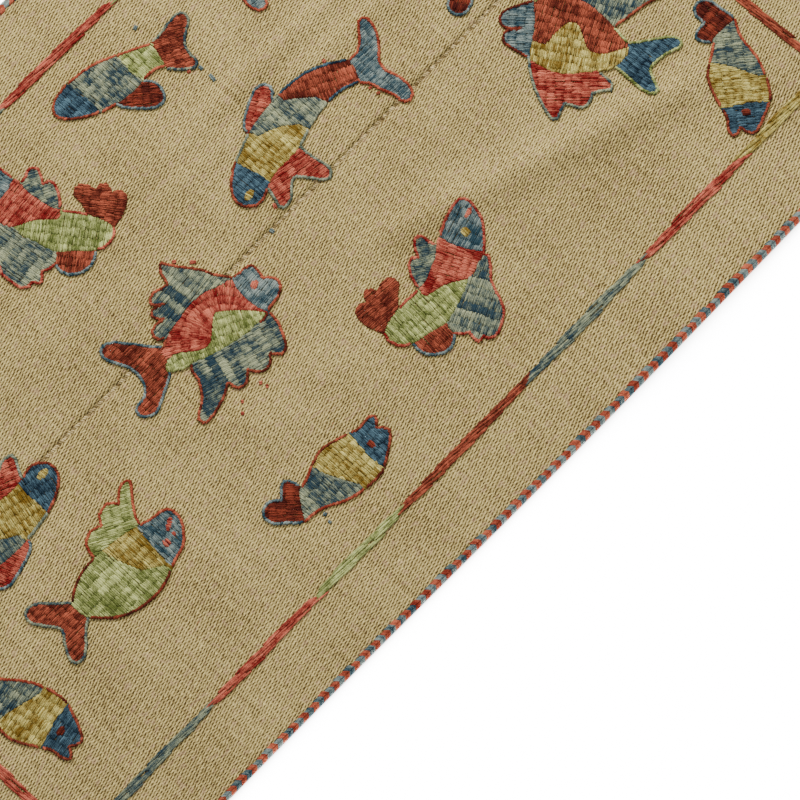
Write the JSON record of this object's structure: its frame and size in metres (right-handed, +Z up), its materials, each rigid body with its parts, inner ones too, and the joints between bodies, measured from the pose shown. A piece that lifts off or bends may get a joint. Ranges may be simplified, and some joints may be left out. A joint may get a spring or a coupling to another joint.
{
  "type": "flat-woven rug",
  "caption": "Flat-woven wool rug of joined strips, with fish embroidered in coloured wool, a stitched border line and an overcast edge.",
  "frame": {"origin": "on the floor, under the middle of the rug", "axes": "+Z up out of the worked face, +Y along the rug's length and its warp, +X across its width"},
  "size_m": [0.6, 1, 0.005],
  "materials": {
    "ground_wool": "matte",
    "dark_blue_wool": "matte",
    "slate_wool": "matte",
    "pale_blue_wool": "matte",
    "gold_wool": "matte",
    "green_wool": "matte",
    "red_wool": "matte",
    "brick_wool": "matte",
    "dark_red_wool": "matte",
    "rust_wool": "matte"
  },
  "bodies": {
    "root": {"border_line_bottom": "brick_wool", "border_line_left": "slate_wool", "border_line_right": "red_wool", "border_line_top": "gold_wool", "centre_seam": "ground_wool", "edge_binding_bottom": "rust_wool", "edge_binding_left": "rust_wool", "edge_binding_right": "rust_wool", "edge_binding_top": "rust_wool", "fish_a_head": "dark_blue_wool", "fish_a_loin": "green_wool", "fish_a_shoulder": "slate_wool", "fish_a_side_fin": "dark_red_wool", "fish_a_tail": "brick_wool", "fish_b_back_fin": "red_wool", "fish_b_belly": "slate_wool", "fish_b_belly_fin": "red_wool", "fish_b_head": "dark_blue_wool", "fish_b_loin": "brick_wool", "fish_b_shoulder": "gold_wool", "fish_b_tail": "pale_blue_wool", "fish_c_back_fin": "slate_wool", "fish_c_belly_fin": "red_wool", "fish_c_flank": "brick_wool", "fish_c_lips": "slate_wool", "fish_c_side": "gold_wool", "fish_c_tail": "dark_blue_wool", "fish_d": "gold_wool", "fish_e_back": "red_wool", "fish_e_back_fin": "slate_wool", "fish_e_belly": "green_wool", "fish_e_belly_fin": "slate_wool", "fish_e_head": "dark_blue_wool", "fish_e_tail": "brick_wool", "fish_f_back_fin": "slate_wool", "fish_f_belly_fin": "slate_wool", "fish_f_body": "green_wool", "fish_f_head": "dark_blue_wool", "fish_f_shoulder": "red_wool", "fish_f_tail": "brick_wool", "fish_f_vent_fin": "brick_wool", "fish_g_head": "dark_blue_wool", "fish_g_loin": "slate_wool", "fish_g_shoulder": "gold_wool", "fish_g_tail": "brick_wool", "fish_h_back_fin": "green_wool", "fish_h_belly": "green_wool", "fish_h_head": "dark_blue_wool", "fish_h_side": "gold_wool", "fish_h_tail": "brick_wool", "fish_i": "red_wool", "fish_j": "slate_wool", "fish_k": "green_wool", "fish_l": "red_wool", "fish_m": "brick_wool", "fish_n": "gold_wool", "fish_o": "slate_wool", "fish_p": "gold_wool", "woven_strip_left": "ground_wool", "woven_strip_right": "ground_wool"}
  },
  "joints": []
}
